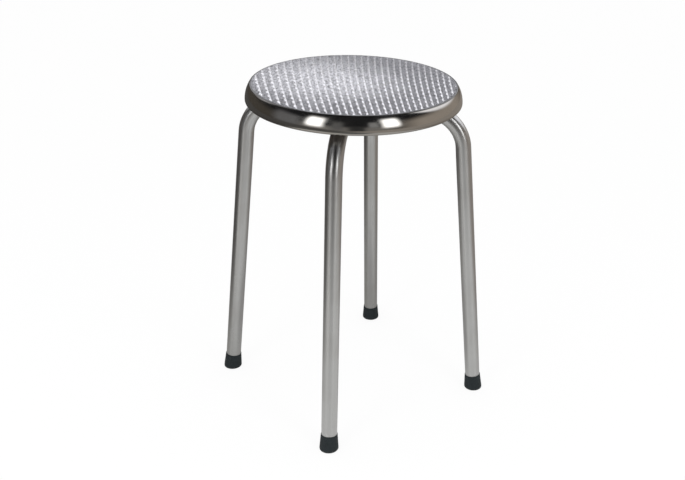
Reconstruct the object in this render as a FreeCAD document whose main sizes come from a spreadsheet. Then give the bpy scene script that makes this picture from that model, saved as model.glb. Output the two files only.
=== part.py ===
import FreeCAD, Part
import math
import os
import Sketcher

# Stacking stool: a pressed steel seat pan over a plywood board, a steel plate screwed to
# the board, four bent tube legs welded to the plate, and rubber feet.
# Millimetres. The origin lies on the floor under the centre of the seat, +Z up.
# The legs stand on the -Y (front), +X (right), +Y (back) and -X (left) sides.

SIZES = {
    # Seat pan: one pressed sheet with a flat field, a bulging rim and a rolled lower edge
    "seat_height": 476.0,
    "seat_radius": 150.0,
    "sheet_thickness": 0.7,
    "rim_drop": 22.0,
    "rim_curve_radius": 36.0,
    "shoulder_radius": 1.8,
    "roll_radius": 3.5,
    # Board inside the pan
    "board_thickness": 18.0,
    "board_edge_gap": 3.0,
    "board_chamfer": 1.5,
    # Plate that the legs are welded to
    "plate_thickness": 3.0,
    "plate_radius": 108.0,
    "plate_edge_round": 1.0,
    # Legs
    "tube_diameter": 22.2,
    "tube_wall": 1.2,
    "bend_radius": 55.0,
    "run_inner_radius": 38.0,
    "leg_splay": 5.2,
    "foot_circle_radius": 190.5,
    # Plugs in the inner tube ends
    "plug_cap_thickness": 2.0,
    "plug_depth": 12.0,
    "plug_gap": 0.1,
    "plug_edge_round": 0.8,
    # Rubber feet and the washers inside them
    "foot_height": 24.0,
    "foot_lip_wall": 0.6,
    "foot_base_wall": 2.2,
    "foot_base_height": 4.0,
    "foot_sole_round": 2.2,
    "foot_bore_gap": 0.1,
    "sole_thickness": 6.0,
    "foot_washer_thickness": 1.5,
    "foot_washer_gap": 0.3,
    "foot_washer_bore": 8.0,
    # Screws that hold the plate to the board
    "screw_circle_radius": 90.0,
    "screw_diameter": 4.0,
    "screw_depth": 13.0,
    "screw_head_diameter": 8.4,
    "screw_head_height": 2.6,
    "screw_head_edge": 1.0,
    "screw_point_length": 3.0,
    "screw_tip_gap": 0.5,
    "screw_pilot_gap": 0.05,
    "screw_washer_diameter": 10.0,
    "screw_washer_thickness": 1.0,
    "screw_hole_gap": 0.3,
}
SCREW_COUNT = 8
SCREW_START_ANGLE = 22.5
LEG_ANGLES = {"front": -90.0, "right": 0.0, "back": 90.0, "left": 180.0}


class Formula:
    """A number that keeps the spreadsheet formula it comes from."""

    def __init__(self, text, value):
        self.text = text
        self.value = value

    def __add__(self, other):
        other = formula(other)
        return Formula(f"({self.text} + {other.text})", self.value + other.value)

    def __sub__(self, other):
        other = formula(other)
        return Formula(f"({self.text} - {other.text})", self.value - other.value)

    def __mul__(self, other):
        other = formula(other)
        return Formula(f"({self.text} * {other.text})", self.value * other.value)

    def __truediv__(self, other):
        other = formula(other)
        return Formula(f"({self.text} / {other.text})", self.value / other.value)


def formula(number):
    if isinstance(number, Formula):
        return number
    return Formula(repr(float(number)), float(number))


def root(term):
    return Formula(f"sqrt({term.text})", math.sqrt(term.value))


def sine(angle):
    return Formula(f"sin({angle.text} * 1 deg)", math.sin(math.radians(angle.value)))


def cosine(angle):
    return Formula(f"cos({angle.text} * 1 deg)", math.cos(math.radians(angle.value)))


def tangent(angle):
    return Formula(f"tan({angle.text} * 1 deg)", math.tan(math.radians(angle.value)))


def make_sheet(doc):
    """The driving dimensions, one row each, with the name as the cell's alias."""
    sheet = doc.addObject("Spreadsheet::Sheet", "Sizes")
    for row, (name, number) in enumerate(SIZES.items(), start=1):
        sheet.set(f"A{row}", name)
        sheet.set(f"B{row}", str(number))
        sheet.setAlias(f"B{row}", name)
    doc.recompute()
    return sheet


def size(name):
    return Formula(f"Sizes.{name}", SIZES[name])


doc = FreeCAD.newDocument("StackingStool")
make_sheet(doc)

# Heights and radii that follow from the sizes
seat_underside = size("seat_height") - size("sheet_thickness")
board_underside = seat_underside - size("board_thickness")
plate_underside = board_underside - size("plate_thickness")
tube_radius = size("tube_diameter") / 2
run_height = plate_underside - tube_radius
tube_bore_radius = tube_radius - size("tube_wall")
board_radius = size("seat_radius") - size("roll_radius") * 2 - size("board_edge_gap")
screw_radius = size("screw_diameter") / 2
screw_hole_radius = screw_radius + size("screw_hole_gap")
head_top = plate_underside - size("screw_washer_thickness")
tube_end_lift = size("sole_thickness") + size("foot_washer_thickness")


def new_body(label):
    body = doc.addObject("PartDesign::Body", label)
    body.Label = label
    return body


def turn(body, angle):
    """Turn a body about the stool's vertical axis."""
    body.Placement.Rotation = FreeCAD.Rotation(FreeCAD.Vector(0, 0, 1), angle)


def plane(body, role):
    return [item for item in body.Origin.OriginFeatures if item.Role == role][0]


def new_sketch(body, name, role, offset=None):
    """A sketch on one of the body's own planes, moved along its normal by offset."""
    sketch = body.newObject("Sketcher::SketchObject", name)
    sketch.AttachmentSupport = [(plane(body, role), "")]
    sketch.MapMode = "FlatFace"
    if offset is not None:
        sketch.setExpression(".AttachmentOffset.Base.z", offset.text)
    return sketch


def point(x, y):
    """A sketch point from two formulas or numbers."""
    return FreeCAD.Vector(formula(x).value, formula(y).value, 0)


def line(sketch, start, end):
    return sketch.addGeometry(Part.LineSegment(start, end), False)


def circle(sketch, centre, radius):
    shape = Part.Circle(centre, FreeCAD.Vector(0, 0, 1), formula(radius).value)
    return sketch.addGeometry(shape, False)


def arc(sketch, centre, radius, start_angle, end_angle):
    """An arc that runs counter-clockwise; the angles are in degrees."""
    whole = Part.Circle(centre, FreeCAD.Vector(0, 0, 1), formula(radius).value)
    part = Part.ArcOfCircle(whole, math.radians(start_angle), math.radians(end_angle))
    return sketch.addGeometry(part, False)


def drive(sketch, kind, target, number):
    """A dimension of the sketch, tied to a formula."""
    number = formula(number)
    value = math.radians(number.value) if kind == "Angle" else number.value
    index = sketch.addConstraint(Sketcher.Constraint(kind, *target, value))
    text = f"{number.text} * 1 deg" if kind == "Angle" else number.text
    sketch.setExpression(f"Constraints[{index}]", text)


def rule(sketch, kind, *target):
    """A constraint of the sketch that has no size."""
    sketch.addConstraint(Sketcher.Constraint(kind, *target))


# Sketcher's names for the places on an element, and for the sketch's own axes
START, END, CENTRE = range(1, 4)
ORIGIN = (-1, START)
HORIZONTAL_AXIS = -1
VERTICAL_AXIS = -2


def locate(sketch, element, place, x, y):
    """Fix a point of the sketch by its two coordinates."""
    drive(sketch, "DistanceX", (*ORIGIN, element, place), x)
    drive(sketch, "DistanceY", (*ORIGIN, element, place), y)


def polygon(sketch, corners):
    """A closed outline of straight lines whose corners all have formulas."""
    count = len(corners)
    for index, corner in enumerate(corners):
        line(sketch, point(*corner), point(*corners[(index + 1) % count]))
    for index, corner in enumerate(corners):
        rule(sketch, "Coincident", (index - 1) % count, END, index, START)
        x, y = corner
        if formula(x).value == 0:
            rule(sketch, "PointOnObject", index, START, VERTICAL_AXIS)
        else:
            drive(sketch, "DistanceX", (*ORIGIN, index, START), x)
        if formula(y).value == 0:
            rule(sketch, "PointOnObject", index, START, HORIZONTAL_AXIS)
        else:
            drive(sketch, "DistanceY", (*ORIGIN, index, START), y)


def disc(body, name, height, radii):
    """A sketch of circles about the body's axis, at a height."""
    sketch = new_sketch(body, name, "XY_Plane", height)
    for radius in radii:
        index = circle(sketch, point(0, 0), radius)
        rule(sketch, "Coincident", index, CENTRE, *ORIGIN)
        drive(sketch, "Radius", (index,), radius)
    return sketch


def pad(body, name, sketch, length):
    feature = body.newObject("PartDesign::Pad", name)
    feature.Profile = sketch
    feature.setExpression("Length", length.text)
    return feature


def revolve(body, name, sketch):
    feature = body.newObject("PartDesign::Revolution", name)
    feature.Profile = sketch
    feature.ReferenceAxis = (sketch, ["V_Axis"])
    feature.Angle = 360.0
    return feature


def polar_copies(body, name, feature):
    """Equal copies of a feature round the body's own Z axis."""
    pattern = body.newObject("PartDesign::PolarPattern", name)
    pattern.Originals = [feature]
    pattern.Axis = (plane(body, "Z_Axis"), [""])
    pattern.Angle = 360.0
    pattern.Occurrences = SCREW_COUNT
    body.Tip = pattern
    return pattern


def edges_where(feature, test):
    """The names of a feature's edges that pass a test."""
    doc.recompute()
    return [f"Edge{n}" for n, edge in enumerate(feature.Shape.Edges, start=1) if test(edge)]


def is_circle_at(edge, height, radius):
    """True for a full circle about the Z axis at a height and radius."""
    curve = edge.Curve
    if not isinstance(curve, Part.Circle):
        return False
    return abs(curve.Center.z - height) < 0.01 and abs(curve.Radius - radius) < 0.01


def edge_feature(body, kind, name, base, edges, amount):
    feature = body.newObject(f"PartDesign::{kind}", name)
    feature.Base = (base, edges)
    feature.setExpression("Radius" if kind == "Fillet" else "Size", amount.text)
    return feature


def make_seat_pan():
    """The seat's section, drawn outside first and then back along the inner side."""
    body = new_body("seat_pan")
    sketch = new_sketch(body, "seat_pan_section", "XZ_Plane")
    wall = size("sheet_thickness")
    top = size("seat_height")
    bulge_height = top - size("rim_drop")
    rim_centre_x = size("seat_radius") - size("rim_curve_radius")
    roll_centre_x = size("seat_radius") - size("roll_radius")
    reach = size("rim_curve_radius") - size("shoulder_radius")
    rise = size("rim_drop") - size("shoulder_radius")
    field_edge = rim_centre_x + root(reach * reach - rise * rise)
    shoulder_angle = math.degrees(math.asin(rise.value / reach.value))
    shoulder = point(field_edge, top - size("shoulder_radius"))
    rim = point(rim_centre_x, bulge_height)
    roll = point(roll_centre_x, bulge_height)
    shoulder_wall = size("shoulder_radius") - wall
    rim_wall = size("rim_curve_radius") - wall
    roll_wall = size("roll_radius") - wall

    field_line = line(sketch, point(0, top), point(field_edge, top))
    shoulder_arc = arc(sketch, shoulder, size("shoulder_radius"), shoulder_angle, 90)
    rim_arc = arc(sketch, rim, size("rim_curve_radius"), 0, shoulder_angle)
    roll_arc = arc(sketch, roll, size("roll_radius"), 180, 360)
    inner_x = roll_centre_x - size("roll_radius")
    roll_end = line(sketch, point(inner_x, bulge_height), point(inner_x + wall, bulge_height))
    roll_inside = arc(sketch, roll, roll_wall, 180, 360)
    rim_inside = arc(sketch, rim, rim_wall, 0, shoulder_angle)
    shoulder_inside = arc(sketch, shoulder, shoulder_wall, shoulder_angle, 90)
    underside = line(sketch, point(field_edge, top - wall), point(0, top - wall))
    axis_line = line(sketch, point(0, top - wall), point(0, top))

    rule(sketch, "PointOnObject", field_line, START, VERTICAL_AXIS)
    drive(sketch, "DistanceY", (*ORIGIN, field_line, START), top)
    rule(sketch, "Horizontal", field_line)
    rule(sketch, "Tangent", field_line, END, shoulder_arc, END)
    rule(sketch, "Tangent", shoulder_arc, START, rim_arc, END)
    drive(sketch, "Radius", (shoulder_arc,), size("shoulder_radius"))
    drive(sketch, "Radius", (rim_arc,), size("rim_curve_radius"))
    locate(sketch, rim_arc, START, size("seat_radius"), bulge_height)
    rule(sketch, "Tangent", rim_arc, START, roll_arc, END)
    drive(sketch, "DistanceY", (*ORIGIN, rim_arc, CENTRE), bulge_height)
    drive(sketch, "Radius", (roll_arc,), size("roll_radius"))
    rule(sketch, "Coincident", roll_arc, START, roll_end, START)
    rule(sketch, "Horizontal", roll_end)
    drive(sketch, "DistanceY", (*ORIGIN, roll_end, START), bulge_height)
    rule(sketch, "Coincident", roll_inside, CENTRE, roll_arc, CENTRE)
    rule(sketch, "Coincident", roll_inside, START, roll_end, END)
    drive(sketch, "Radius", (roll_inside,), roll_wall)
    rule(sketch, "Coincident", rim_inside, CENTRE, rim_arc, CENTRE)
    rule(sketch, "Coincident", rim_inside, START, roll_inside, END)
    drive(sketch, "DistanceY", (*ORIGIN, rim_inside, START), bulge_height)
    rule(sketch, "Coincident", shoulder_inside, CENTRE, shoulder_arc, CENTRE)
    rule(sketch, "Tangent", shoulder_inside, START, rim_inside, END)
    rule(sketch, "Tangent", underside, START, shoulder_inside, END)
    rule(sketch, "Coincident", underside, END, axis_line, START)
    rule(sketch, "Coincident", axis_line, END, field_line, START)
    rule(sketch, "PointOnObject", underside, END, VERTICAL_AXIS)
    revolve(body, "seat_pan_turned", sketch)
    return body


def make_seat_board():
    """A plywood disc with a chamfered upper edge and blind pilot holes for the screws."""
    body = new_body("seat_board")
    turn(body, SCREW_START_ANGLE)
    outline = disc(body, "board_outline", board_underside, [board_radius])
    blank = pad(body, "board_blank", outline, size("board_thickness"))
    upper = edges_where(
        blank, lambda edge: is_circle_at(edge, seat_underside.value, board_radius.value)
    )
    edge_feature(body, "Chamfer", "board_edge", blank, upper, size("board_chamfer"))
    pilot = screw_ring(
        body, "pilot_sketch", board_underside, [screw_radius + size("screw_pilot_gap")]
    )
    hole = cut_up(body, "pilot_hole", pilot, size("screw_depth"))
    polar_copies(body, "pilot_holes", hole)
    return body


def screw_ring(body, name, height, radii):
    """Circles about the first place on the screw circle, which lies on the body's X axis."""
    sketch = new_sketch(body, name, "XY_Plane", height)
    for radius in radii:
        index = circle(sketch, point(size("screw_circle_radius"), 0), radius)
        rule(sketch, "PointOnObject", index, CENTRE, HORIZONTAL_AXIS)
        drive(sketch, "DistanceX", (*ORIGIN, index, CENTRE), size("screw_circle_radius"))
        drive(sketch, "Radius", (index,), radius)
    return sketch


def cut_up(body, name, sketch, depth):
    """A hole that rises from its sketch."""
    feature = body.newObject("PartDesign::Pocket", name)
    feature.Profile = sketch
    feature.Reversed = True
    feature.setExpression("Length", depth.text)
    return feature


def make_mount_plate():
    """The round plate, with its clearance holes and a broken lower edge."""
    body = new_body("mount_plate")
    turn(body, SCREW_START_ANGLE)
    outline = disc(body, "plate_outline", plate_underside, [size("plate_radius")])
    blank = pad(body, "plate_blank", outline, size("plate_thickness"))
    lower = edges_where(
        blank, lambda edge: is_circle_at(edge, plate_underside.value, SIZES["plate_radius"])
    )
    edge_feature(body, "Fillet", "plate_edge", blank, lower, size("plate_edge_round"))
    sketch = screw_ring(body, "plate_hole_sketch", plate_underside, [screw_hole_radius])
    hole = cut_up(body, "plate_hole", sketch, size("plate_thickness"))
    polar_copies(body, "plate_holes", hole)
    return body


def make_leg(side, angle):
    """A tube on a path of a level run, a bend and the straight splayed shank."""
    body = new_body(f"leg_{side}")
    turn(body, angle)
    splay = size("leg_splay")
    foot_x = size("foot_circle_radius") - tube_end_lift * sine(splay)
    foot_y = tube_end_lift * cosine(splay)
    corner_x = size("foot_circle_radius") - run_height * tangent(splay)
    bend_angle = formula(90.0) - splay
    setback = size("bend_radius") * tangent(bend_angle / 2)
    run_end_x = corner_x - setback
    bend = point(run_end_x, run_height - size("bend_radius"))
    shank_x = corner_x + setback * sine(splay)
    shank_y = run_height - setback * cosine(splay)

    path = new_sketch(body, f"leg_{side}_path", "XZ_Plane")
    run = line(path, point(size("run_inner_radius"), run_height), point(run_end_x, run_height))
    corner = arc(path, bend, size("bend_radius"), SIZES["leg_splay"], 90)
    shank = line(path, point(shank_x, shank_y), point(foot_x, foot_y))
    locate(path, run, START, size("run_inner_radius"), run_height)
    rule(path, "Horizontal", run)
    rule(path, "Tangent", run, END, corner, END)
    rule(path, "Tangent", corner, START, shank, START)
    drive(path, "Radius", (corner,), size("bend_radius"))
    locate(path, shank, END, foot_x, foot_y)
    drive(path, "Angle", (shank,), splay - 90)

    section = new_sketch(body, f"leg_{side}_section", "YZ_Plane", size("run_inner_radius"))
    for radius in (tube_radius, tube_bore_radius):
        index = circle(section, point(0, run_height), radius)
        rule(section, "PointOnObject", index, CENTRE, VERTICAL_AXIS)
        drive(section, "DistanceY", (*ORIGIN, index, CENTRE), run_height)
        drive(section, "Radius", (index,), radius)
    tube = body.newObject("PartDesign::AdditivePipe", f"leg_{side}_tube")
    tube.Profile = section
    tube.Spine = path
    return body


def make_plug(side, angle):
    """A plastic plug: a domed cap outside the tube and a stem inside it."""
    body = new_body(f"plug_{side}")
    turn(body, angle)
    cap_face = size("run_inner_radius") - size("plug_cap_thickness")
    stem_radius = tube_bore_radius - size("plug_gap")
    cap_length = size("plug_cap_thickness")
    for name, radius, start, length in (
        ("cap", tube_radius, cap_face, cap_length),
        ("stem", stem_radius, size("run_inner_radius"), size("plug_depth")),
    ):
        sketch = new_sketch(body, f"plug_{side}_{name}_sketch", "YZ_Plane", start)
        index = circle(sketch, point(0, run_height), radius)
        rule(sketch, "PointOnObject", index, CENTRE, VERTICAL_AXIS)
        drive(sketch, "DistanceY", (*ORIGIN, index, CENTRE), run_height)
        drive(sketch, "Radius", (index,), radius)
        last = pad(body, f"plug_{side}_{name}", sketch, length)
    face = cap_face.value
    rim = edges_where(
        last, lambda edge: isinstance(edge.Curve, Part.Circle) and abs(edge.Curve.Center.x - face) < 0.01
    )
    edge_feature(body, "Fillet", f"plug_{side}_edge", last, rim, size("plug_edge_round"))
    return body


def stand_on_leg(body, angle):
    """Put the body's origin under the leg's axis on the floor, with Z up along the leg."""
    splay = size("leg_splay")
    reach = size("foot_circle_radius")
    across = reach * math.cos(math.radians(angle))
    along = reach * math.sin(math.radians(angle))
    base = f"vector({across.text} * 1 mm; {along.text} * 1 mm; 0 mm)"
    rotation = f"rotationz({angle} deg) * rotationy(-{splay.text} * 1 deg)"
    body.setExpression("Placement", f"placement({base}; {rotation})")


def make_foot(side, angle):
    """A tapered rubber cup on the tube's end, with its sole cut level with the floor."""
    body = new_body(f"foot_{side}")
    stand_on_leg(body, angle)
    bore = tube_radius + size("foot_bore_gap")
    lip = bore + size("foot_lip_wall")
    base = bore + size("foot_base_wall")
    below = size("foot_base_height")
    section = new_sketch(body, f"foot_{side}_section", "XZ_Plane")
    polygon(section, [
        (0, formula(0) - below),
        (base, formula(0) - below),
        (base, size("foot_base_height")),
        (lip, size("foot_height")),
        (bore, size("foot_height")),
        (bore, size("sole_thickness")),
        (0, size("sole_thickness")),
    ])
    cup = revolve(body, f"foot_{side}_cup", section)

    floor = new_sketch(body, f"foot_{side}_floor", "XZ_Plane")
    span = base * 2
    slope = span * tangent(size("leg_splay"))
    polygon(floor, [
        (span, formula(0) - slope),
        (formula(0) - span, slope),
        (formula(0) - span, formula(0) - span),
        (span, formula(0) - span),
    ])
    level = body.newObject("PartDesign::Pocket", f"foot_{side}_level")
    level.Profile = floor
    level.Midplane = True
    level.setExpression("Length", (span * 2).text)
    sole = edges_where(level, lambda edge: is_sole_edge(body, edge))
    edge_feature(body, "Fillet", f"foot_{side}_round", level, sole, size("foot_sole_round"))
    return body


def is_sole_edge(body, edge):
    """True for an edge that lies on the floor."""
    placed = edge.BoundBox
    lowest = body.Placement.multVec(edge.valueAt(edge.FirstParameter)).z
    middle = body.Placement.multVec(edge.valueAt((edge.FirstParameter + edge.LastParameter) / 2)).z
    return abs(lowest) < 0.01 and abs(middle) < 0.01 and placed.DiagonalLength > 1


def make_foot_washer(side, angle):
    """The steel washer between the rubber and the cut end of the tube."""
    body = new_body(f"foot_washer_{side}")
    stand_on_leg(body, angle)
    outside = tube_radius - size("foot_washer_gap")
    radii = [outside, size("foot_washer_bore") / 2]
    sketch = disc(body, f"foot_washer_{side}_outline", size("sole_thickness"), radii)
    pad(body, f"foot_washer_{side}_disc", sketch, size("foot_washer_thickness"))
    return body


def make_screws():
    """Dome-headed screws with pointed shanks, all alike, on one circle."""
    body = new_body("plate_screws")
    turn(body, SCREW_START_ANGLE)
    body.AllowCompound = True
    axis = size("screw_circle_radius")
    head = size("screw_head_diameter") / 2
    tip = board_underside + size("screw_depth") - size("screw_tip_gap")
    flank = head_top - size("screw_head_edge")
    crown = head_top - size("screw_head_height")
    dome_rise = flank - crown
    dome_radius = (head * head + dome_rise * dome_rise) / (dome_rise * 2)
    dome_angle = math.degrees(math.asin(head.value / dome_radius.value))
    shank = axis + screw_radius
    sketch = new_sketch(body, "screw_section", "XZ_Plane")
    corners = [
        (axis, crown),
        (axis, tip),
        (shank, tip - size("screw_point_length")),
        (shank, head_top),
        (axis + head, head_top),
        (axis + head, flank),
    ]
    for start, end in zip(corners, corners[1:]):
        line(sketch, point(*start), point(*end))
    dome_centre = point(axis, crown + dome_radius)
    dome = arc(sketch, dome_centre, dome_radius, 270, 270 + dome_angle)
    for index, corner in enumerate(corners[:-1]):
        locate(sketch, index, START, *corner)
        if index:
            rule(sketch, "Coincident", index - 1, END, index, START)
    locate(sketch, dome - 1, END, *corners[-1])
    rule(sketch, "Coincident", dome - 1, END, dome, END)
    rule(sketch, "Coincident", dome, START, 0, START)
    drive(sketch, "DistanceX", (*ORIGIN, dome, CENTRE), axis)
    centre_line = Part.LineSegment(point(axis, crown), point(axis, tip))
    spine = sketch.addGeometry(centre_line, True)
    rule(sketch, "Coincident", spine, START, 0, START)
    rule(sketch, "Coincident", spine, END, 0, END)
    screw = revolve(body, "screw_turned", sketch)
    screw.ReferenceAxis = (sketch, ["Axis0"])
    polar_copies(body, "screw_copies", screw)
    return body


def make_screw_washers():
    """A flat washer under each screw head."""
    body = new_body("screw_washers")
    turn(body, SCREW_START_ANGLE)
    body.AllowCompound = True
    radii = [size("screw_washer_diameter") / 2, screw_hole_radius]
    sketch = screw_ring(body, "screw_washer_outline", head_top, radii)
    washer = pad(body, "screw_washer", sketch, size("screw_washer_thickness"))
    polar_copies(body, "screw_washer_copies", washer)
    return body


for side, angle in LEG_ANGLES.items():
    make_leg(side, angle)
    make_plug(side, angle)
    make_foot(side, angle)
    make_foot_washer(side, angle)
make_seat_pan()
make_seat_board()
make_mount_plate()
make_screws()
make_screw_washers()
doc.recompute()

failed = [item.Name for item in doc.Objects if {"Invalid", "Error"} & set(item.State)]
if failed:
    raise RuntimeError(f"features that failed: {failed}")
subparts = [item for item in doc.Objects if item.TypeId == "PartDesign::Body"]
for item in subparts:
    if item.Shape.isNull() or not item.Shape.isValid():
        raise RuntimeError(f"sub-part with no valid shape: {item.Label}")
os.makedirs("parts", exist_ok=True)
for item in subparts:
    item.Shape.exportStep(os.path.join("parts", f"{item.Label}.step"))
    print(item.Label, len(item.Shape.Solids), round(item.Shape.Volume, 1), item.Shape.BoundBox)
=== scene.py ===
"""A round steel stool with an embossed seat on four bent tube legs, shown in a white studio.

Shapes are made in millimetres and scaled to metres when a piece is finished.
Z is up, the floor is Z = 0 and the stool stands on the Z axis. The camera looks along +Y.
"""

import math

import bmesh
import bpy
from mathutils import Matrix, Vector


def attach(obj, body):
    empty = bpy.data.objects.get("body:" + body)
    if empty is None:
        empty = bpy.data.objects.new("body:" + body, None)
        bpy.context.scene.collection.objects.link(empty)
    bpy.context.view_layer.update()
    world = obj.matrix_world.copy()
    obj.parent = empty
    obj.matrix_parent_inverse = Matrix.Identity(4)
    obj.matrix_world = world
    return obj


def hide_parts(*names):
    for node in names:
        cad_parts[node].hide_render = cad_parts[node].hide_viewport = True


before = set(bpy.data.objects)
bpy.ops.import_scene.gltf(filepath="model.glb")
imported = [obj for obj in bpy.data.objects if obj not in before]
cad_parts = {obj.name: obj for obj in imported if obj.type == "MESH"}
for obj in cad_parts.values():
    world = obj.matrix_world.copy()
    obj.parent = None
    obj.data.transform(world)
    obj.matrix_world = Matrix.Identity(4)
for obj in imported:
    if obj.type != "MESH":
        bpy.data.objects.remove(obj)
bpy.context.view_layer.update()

MM = 0.001
WHITE = (1, 1, 1, 1)
SIDES = {"front": -90.0, "right": 0.0, "back": 90.0, "left": 180.0}

# The seat pan. Places are given as radius and height.
SEAT_TOP = 476.0
SHEET = 0.7
FIELD_RADIUS = 141.0
FIELD_FADE = 1.5
TOP_RADIUS = 141.9
SHOULDER_CENTRE = (141.99, 473.65)
SHOULDER_RADIUS = 1.8
RIM_CENTRE = (114.0, 454.0)
RIM_RADIUS = 36.0
RIM_ANGLE = math.degrees(math.atan2(
    SHOULDER_CENTRE[1] - RIM_CENTRE[1], SHOULDER_CENTRE[0] - RIM_CENTRE[0],
))
ROLL_CENTRE = (146.5, 454.0)
ROLL_RADIUS = 3.5
ROUND_STEPS = 256
BORDER_SIDES = 48

# Where the seat steel's colour changes.
CREASE_INNER = (140.9, 141.3)
CREASE_OUTER = (144.0, 143.2)
# Middle of a painted sheen: the field's colour is lighter near it.
SHEEN_MIDDLE = (-0.045, 0.005, 0.0)
# Heights over which the rolled lip darkens with painted shade.
LIP_SHADE_HEIGHTS = (456.5, 452.5)
BOARD_EDGE = (138.6, 138.8)
PLY_PAIR = 4.0

# The embossed lattice: roped ridges that swing from side to side, with low studs between them.
# The rows fan a little: ROW_MAP gives a place's row number from x and y, in units of 100 mm.
ROW_MAP = (10.623, 2.501, 1.351, -0.339, -0.683)
ROW_START = 0.49
ROW_ANGLE = 13.6
ROW_PITCH = 9.17
WEAVE_LENGTH = 17.2
WEAVE_SIDE = 0.7
RIDGE_HEIGHT = 0.55
RIDGE_CREST = (0.5, 1.25)
RIDGE_FLANK = 1.2
GRAINS_PER_WEAVE = 4
GRAIN_SHARE = 0.3
GRAIN_LEAN = 0.9
STUD_HEIGHT = 0.26
STUD_FOOT = 1.5
ROW_LINES = (-4.585, -3.65, -2.8, -2.0, -1.25, -0.45, 0.45, 1.25, 2.0, 2.8, 3.65)
LINES_PER_WEAVE = 16
ROWS_EACH_WAY = 17

# The legs, as distance from the stool's axis and height.
TUBE_RADIUS = 11.1
BORE_RADIUS = 9.9
RUN_HEIGHT = 443.2
RUN_START = 38.0
BEND_RADIUS = 55.0
SPLAY = 5.2
FOOT_RING = 190.5
TUBE_LIFT = 7.5
TUBE_STEPS = 64
BEND_STEPS = 44
RUN_STEPS = 4
SHANK_STEPS = 12
BEND_RIPPLES = 7

# Weld beads along a leg's run, as start and length.
WELD_BEADS = ((46.0, 19.0), (79.0, 17.0))
WELD_LEAN = 35

# The surroundings that metal mirrors, as azimuth and elevation of a patch, half its width and
# height in degrees, and its colour. Azimuth 0 is ahead of the camera and grows to the right.
SKY_PATCHES = (
    ((-60, -5), (55, 18), (0.07, 0.062, 0.052, 1)),
    ((68, -2), (52, 21), (0.34, 0.30, 0.26, 1)),
    ((-116, 8), (16, 16), (0.16, 0.16, 0.165, 1)),
    ((-172, 10), (6, 16), (0.13, 0.13, 0.13, 1)),
    ((168, 0), (9, 12), (0.03, 0.03, 0.03, 1)),
    ((151, 16), (5, 10), (0.26, 0.26, 0.26, 1)),
    ((-148, 18), (9, 16), (2.6, 2.6, 2.6, 1)),
    ((132, 19), (9, 15), (2.6, 2.6, 2.6, 1)),
)

# The floor that metal mirrors, as a patch's centre, inner and outer radius in metres and colour.
# Painted shadow and light on the mirrored floor: darker under the stool and far ahead, lighter in
# front of it.
FLOOR_PATCHES = (
    ((0.0, 0.0, 0.0), 0.3, 0.75, (0.27, 0.265, 0.25, 1)),
    ((0.3, -0.7, 0.0), 0.6, 1.0, (0.62, 0.62, 0.61, 1)),
    ((-0.5, -0.85, 0.0), 0.3, 0.6, (0.60, 0.59, 0.57, 1)),
    ((0.25, -1.6, 0.0), 0.25, 0.75, (0.06, 0.06, 0.06, 1)),
    ((0.0, 0.0, 0.0), 0.06, 0.17, (0.34, 0.335, 0.33, 1)),
)
FLOOR_HALF = 3200.0
SOFTBOX_SIZE = (0.62, 1.1)
SOFTBOX_RADIANCE = 4.2


def radians(*degrees):
    return [math.radians(value) for value in degrees]


# ---- shader tools ----


def add(tree, kind, **settings):
    """A new node with its settings. Inputs go by name or number, as a value or a socket."""
    node = tree.nodes.new(kind)
    inputs = settings.pop("inputs", {})
    for name, value in settings.items():
        setattr(node, name, value)
    for name, value in inputs.items():
        if isinstance(value, bpy.types.NodeSocket):
            tree.links.new(value, node.inputs[name])
        else:
            node.inputs[name].default_value = value
    return node


def maths(tree, operation, *values):
    node = add(tree, "ShaderNodeMath", operation=operation, inputs=dict(enumerate(values)))
    return node.outputs[0]


def vector_maths(tree, operation, *values):
    node = add(tree, "ShaderNodeVectorMath", operation=operation, inputs=dict(enumerate(values)))
    return node.outputs["Value" if operation in ("LENGTH", "DOT_PRODUCT") else "Vector"]


def ramp(tree, value, low, high, out_low=0.0, out_high=1.0):
    """A soft change from out_low to out_high while the value goes from low to high."""
    node = add(
        tree, "ShaderNodeMapRange", interpolation_type="SMOOTHSTEP",
        inputs={
            "Value": value, "From Min": low, "From Max": high, "To Min": out_low, "To Max": out_high,
        },
    )
    return node.outputs["Result"]


def blend_colour(tree, factor, first, second):
    inputs = {0: factor, 6: first, 7: second}
    return add(tree, "ShaderNodeMix", data_type="RGBA", inputs=inputs).outputs[2]


def blend_value(tree, factor, first, second):
    inputs = {0: factor, 2: first, 3: second}
    return add(tree, "ShaderNodeMix", data_type="FLOAT", inputs=inputs).outputs[0]


def blend_shader(tree, factor, first, second):
    inputs = {0: factor, 1: first.outputs[0], 2: second.outputs[0]}
    return add(tree, "ShaderNodeMixShader", inputs=inputs)


def noise(tree, place, scale, detail=3.0, roughness=0.5):
    node = add(
        tree, "ShaderNodeTexNoise",
        inputs={"Vector": place, "Scale": scale, "Detail": detail, "Roughness": roughness},
    )
    return node.outputs["Fac"]


def new_group(name, inputs, outputs):
    """An empty shader group, its input sockets by name and the node that takes its results."""
    tree = bpy.data.node_groups.new(name, "ShaderNodeTree")
    for label, (kind, value) in inputs.items():
        socket = tree.interface.new_socket(label, in_out="INPUT", socket_type=kind)
        if value is not None:
            socket.default_value = value
    for label, kind in outputs.items():
        tree.interface.new_socket(label, in_out="OUTPUT", socket_type=kind)
    given = tree.nodes.new("NodeGroupInput")
    result = tree.nodes.new("NodeGroupOutput")
    return tree, given.outputs, result


def use_group(tree, group, **inputs):
    node = tree.nodes.new("ShaderNodeGroup")
    node.node_tree = group
    for name, value in inputs.items():
        socket = node.inputs[name.replace("_", " ")]
        if isinstance(value, bpy.types.NodeSocket):
            tree.links.new(value, socket)
        else:
            socket.default_value = value
    return node.outputs


FLOAT, VECTOR = "NodeSocketFloat", "NodeSocketVector"


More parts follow.
